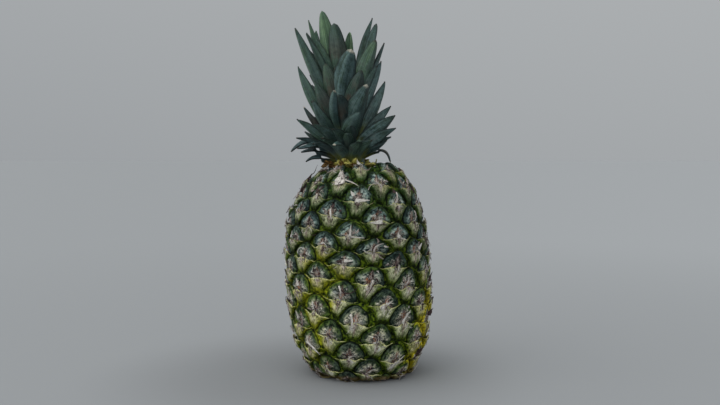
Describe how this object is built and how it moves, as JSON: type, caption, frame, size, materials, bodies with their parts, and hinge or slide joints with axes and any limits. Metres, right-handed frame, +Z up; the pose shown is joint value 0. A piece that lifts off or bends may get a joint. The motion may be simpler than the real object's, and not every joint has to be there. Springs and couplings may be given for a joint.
{
  "type": "whole pineapple with its crown",
  "caption": "Ripe whole pineapple with green-gold rind of hexagonal fruitlets and a rosette of pointed blue-green leaves, standing on its flat base.",
  "frame": {"origin": "middle of the flat cut base that the fruit stands on", "axes": "+Z up from the base to the crown, -Y towards the side shown in front, +X to that side's right"},
  "size_m": [0.1297, 0.1275, 0.3088],
  "materials": {
    "rind": "waxy, rough rind of green fruitlets with pale straw-coloured bracts, papery pinkish-white tips and dark grooves",
    "leaf": "tough blue-green leaf with a grey waxy bloom, fine lengthwise ribs and dry pale tips"
  },
  "bodies": {
    "root": {"fruit": "rind", "crown": "leaf"}
  },
  "joints": []
}
